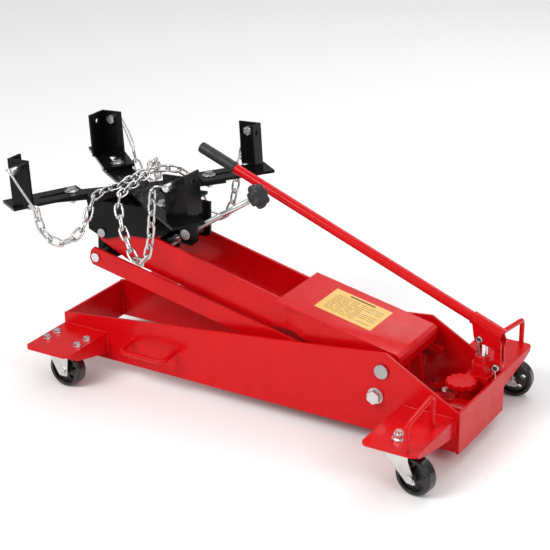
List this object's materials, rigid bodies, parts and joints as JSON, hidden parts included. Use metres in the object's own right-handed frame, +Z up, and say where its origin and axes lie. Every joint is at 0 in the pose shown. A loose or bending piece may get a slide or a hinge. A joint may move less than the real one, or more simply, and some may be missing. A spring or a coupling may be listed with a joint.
{
  "type": "transmission jack",
  "caption": "Low-profile hydraulic transmission jack: wheeled base, parallelogram lift arm, tilting saddle with slotted adjustable arms, load chains and pump handle.",
  "frame": {"origin": "on the floor, under the middle of the jack's outside box at rest", "axes": "+Z up; +X from the saddle's front end towards the handle's pivot end; +Y towards the jack's right-hand side, where the pump and handle are"},
  "size_m": [1.0314, 0.528, 0.4834],
  "materials": {
    "red_paint": "gloss",
    "black_paint": "semi-gloss",
    "zinc_plate": "zinc plated",
    "plain_steel": "plain",
    "ground_steel": "ground",
    "wheel_plastic": "moulded",
    "knob_plastic": "moulded",
    "grip_rubber": "ribbed"
  },
  "bodies": {
    "base": {"side_plate_left": "red_paint", "side_plate_right": "red_paint", "front_cross_plate": "red_paint", "rear_cross_plate": "red_paint", "front_wheel_bracket_left": "red_paint", "front_wheel_bracket_right": "red_paint", "rear_wheel_bracket_left": "red_paint", "rear_wheel_bracket_right": "red_paint", "carry_handles": "red_paint", "loop_handles": "red_paint", "front_casters": "zinc_plate", "caster_bolts": "zinc_plate", "caster_stems": "zinc_plate", "lift_pivot_shaft": "plain_steel", "radius_rod_bolts": "zinc_plate", "pump_block": "red_paint", "plug_screws": "zinc_plate", "pump_barrel": "red_paint", "socket_link": "red_paint", "link_pin": "zinc_plate"},
    "lift_arm": {"arm_plate_left": "red_paint", "arm_plate_right": "red_paint", "arm_cover": "red_paint", "arm_web": "red_paint", "arm_front_shaft": "plain_steel", "lift_lever": "red_paint"},
    "radius_rod_left": {"radius_rod_left": "red_paint"},
    "radius_rod_right": {"radius_rod_right": "red_paint"},
    "saddle_bracket": {"saddle_bracket": "black_paint", "rod_pins": "zinc_plate"},
    "tilt_head": {"tilt_head": "black_paint", "cross_plate": "black_paint", "arm_bolts": "zinc_plate", "chain_left": "zinc_plate", "chain_right": "zinc_plate"},
    "screw_foot": {"screw_foot": "plain_steel"},
    "trunnion_nut": {"trunnion_nut": "plain_steel"},
    "tilt_screw": {"tilt_screw": "zinc_plate", "star_knob": "knob_plastic"},
    "ram_piston": {"ram_piston": "ground_steel"},
    "handle": {"handle_socket": "red_paint", "handle_tube": "red_paint", "handle_grip": "grip_rubber", "plunger_pin": "zinc_plate"},
    "pump_plunger": {"pump_plunger": "ground_steel"},
    "release_knob": {"release_knob": "red_paint"},
    "rear_fork_left": {"rear_fork_left": "zinc_plate"},
    "rear_fork_right": {"rear_fork_right": "zinc_plate"},
    "wheel_front_left": {"wheel_front_left": "wheel_plastic"},
    "wheel_front_right": {"wheel_front_right": "wheel_plastic"},
    "wheel_rear_left": {"wheel_rear_left": "wheel_plastic"},
    "wheel_rear_right": {"wheel_rear_right": "wheel_plastic"},
    "saddle_bar_front_left": {"saddle_bar_front_left": "black_paint", "chain_pin_front_left": "zinc_plate"},
    "saddle_bar_front_right": {"saddle_bar_front_right": "black_paint", "chain_pin_front_right": "zinc_plate"},
    "saddle_bar_rear_right": {"saddle_bar_rear_right": "black_paint", "chain_pin_rear_right": "zinc_plate"},
    "saddle_bar_rear_left": {"saddle_bar_rear_left": "black_paint", "chain_pin_rear_left": "zinc_plate"}
  },
  "joints": [
    {"name": "arm_lift", "type": "hinge", "parent": "base", "child": "lift_arm", "pos_m": [0.34465, 0, 0.157], "axis": [0, 1, 0], "range_deg": [-15.3, 36]},
    {"name": "rod_swing_left", "type": "hinge", "parent": "base", "child": "radius_rod_left", "pos_m": [0.33265, -0.0735, 0.104], "axis": [0, 1, 0], "range_deg": [-15.3, 36]},
    {"name": "rod_swing_right", "type": "hinge", "parent": "base", "child": "radius_rod_right", "pos_m": [0.33265, 0.0735, 0.104], "axis": [0, 1, 0], "range_deg": [-15.3, 36]},
    {"name": "bracket_level", "type": "hinge", "parent": "lift_arm", "child": "saddle_bracket", "pos_m": [-0.31217, 0, 0.29422], "axis": [0, 1, 0], "range_deg": [-36, 15.3]},
    {"name": "head_tilt", "type": "hinge", "parent": "saddle_bracket", "child": "tilt_head", "pos_m": [-0.31217, 0, 0.29422], "axis": [0, -1, 0], "range_deg": [-4, 4]},
    {"name": "screw_swing", "type": "hinge", "parent": "saddle_bracket", "child": "screw_foot", "pos_m": [-0.19095, 0, 0.2739], "axis": [0, -1, 0], "range_deg": [-9.6, 9.6]},
    {"name": "nut_travel", "type": "slide", "parent": "screw_foot", "child": "trunnion_nut", "axis": [0.8382, 0, 0.5454], "range_m": [-0.006, 0.006]},
    {"name": "screw_turn", "type": "hinge", "parent": "screw_foot", "child": "tilt_screw", "pos_m": [-0.10713, 0, 0.32844], "axis": [0.8382, 0, 0.5454], "continuous": true},
    {"name": "bar_slide_front_left", "type": "slide", "parent": "tilt_head", "child": "saddle_bar_front_left", "axis": [-0.5143, -0.8572, -0.0279], "range_m": [-0.05, 0.005]},
    {"name": "bar_slide_front_right", "type": "slide", "parent": "tilt_head", "child": "saddle_bar_front_right", "axis": [-0.7421, 0.6691, -0.0402], "range_m": [-0.05, 0.005]},
    {"name": "bar_slide_rear_right", "type": "slide", "parent": "tilt_head", "child": "saddle_bar_rear_right", "axis": [0.6311, 0.7749, 0.0342], "range_m": [-0.05, 0.005]},
    {"name": "bar_slide_rear_left", "type": "slide", "parent": "tilt_head", "child": "saddle_bar_rear_left", "axis": [0.818, -0.5736, 0.0443], "range_m": [-0.05, 0.005]},
    {"name": "ram_stroke", "type": "slide", "parent": "base", "child": "ram_piston", "axis": [-1, 0, 0], "range_m": [-0.0207, 0.0486]},
    {"name": "handle_swing", "type": "hinge", "parent": "base", "child": "handle", "pos_m": [0.50365, 0.072, 0.18], "axis": [0, 1, 0], "range_deg": [-15.3, 36]},
    {"name": "plunger_stroke", "type": "slide", "parent": "base", "child": "pump_plunger", "axis": [0, 0, 1], "range_m": [-0.0087, 0.0202]},
    {"name": "release_turn", "type": "hinge", "parent": "base", "child": "release_knob", "pos_m": [0.45565, 0.011, 0.1], "axis": [0, 0, 1], "range_deg": [-90, 90]},
    {"name": "fork_swivel_left", "type": "hinge", "parent": "base", "child": "rear_fork_left", "pos_m": [0.43965, -0.217, 0.085], "axis": [0, 0, 1], "continuous": true},
    {"name": "fork_swivel_right", "type": "hinge", "parent": "base", "child": "rear_fork_right", "pos_m": [0.43965, 0.217, 0.085], "axis": [0, 0, 1], "continuous": true},
    {"name": "front_roll_left", "type": "hinge", "parent": "base", "child": "wheel_front_left", "pos_m": [-0.32635, -0.186, 0.0375], "axis": [0, 1, 0], "continuous": true},
    {"name": "front_roll_right", "type": "hinge", "parent": "base", "child": "wheel_front_right", "pos_m": [-0.32635, 0.186, 0.0375], "axis": [0, 1, 0], "continuous": true},
    {"name": "rear_roll_left", "type": "hinge", "parent": "rear_fork_left", "child": "wheel_rear_left", "pos_m": [0.47728, -0.22229, 0.0375], "axis": [0.1392, 0.9903, 0], "continuous": true},
    {"name": "rear_roll_right", "type": "hinge", "parent": "rear_fork_right", "child": "wheel_rear_right", "pos_m": [0.47728, 0.22229, 0.0375], "axis": [-0.1392, 0.9903, 0], "continuous": true}
  ],
  "couplings": [
    {"joint": "rod_swing_left", "follows": "arm_lift", "ratio": 1},
    {"joint": "rod_swing_right", "follows": "arm_lift", "ratio": 1},
    {"joint": "bracket_level", "follows": "arm_lift", "ratio": -1},
    {"joint": "ram_stroke", "follows": "arm_lift", "m_per_rad": 0.0772},
    {"joint": "handle_swing", "follows": "arm_lift", "ratio": 1},
    {"joint": "plunger_stroke", "follows": "arm_lift", "m_per_rad": 0.032},
    {"joint": "screw_swing", "follows": "head_tilt", "ratio": 2.37},
    {"joint": "nut_travel", "follows": "head_tilt", "m_per_rad": 0.083}
  ]
}
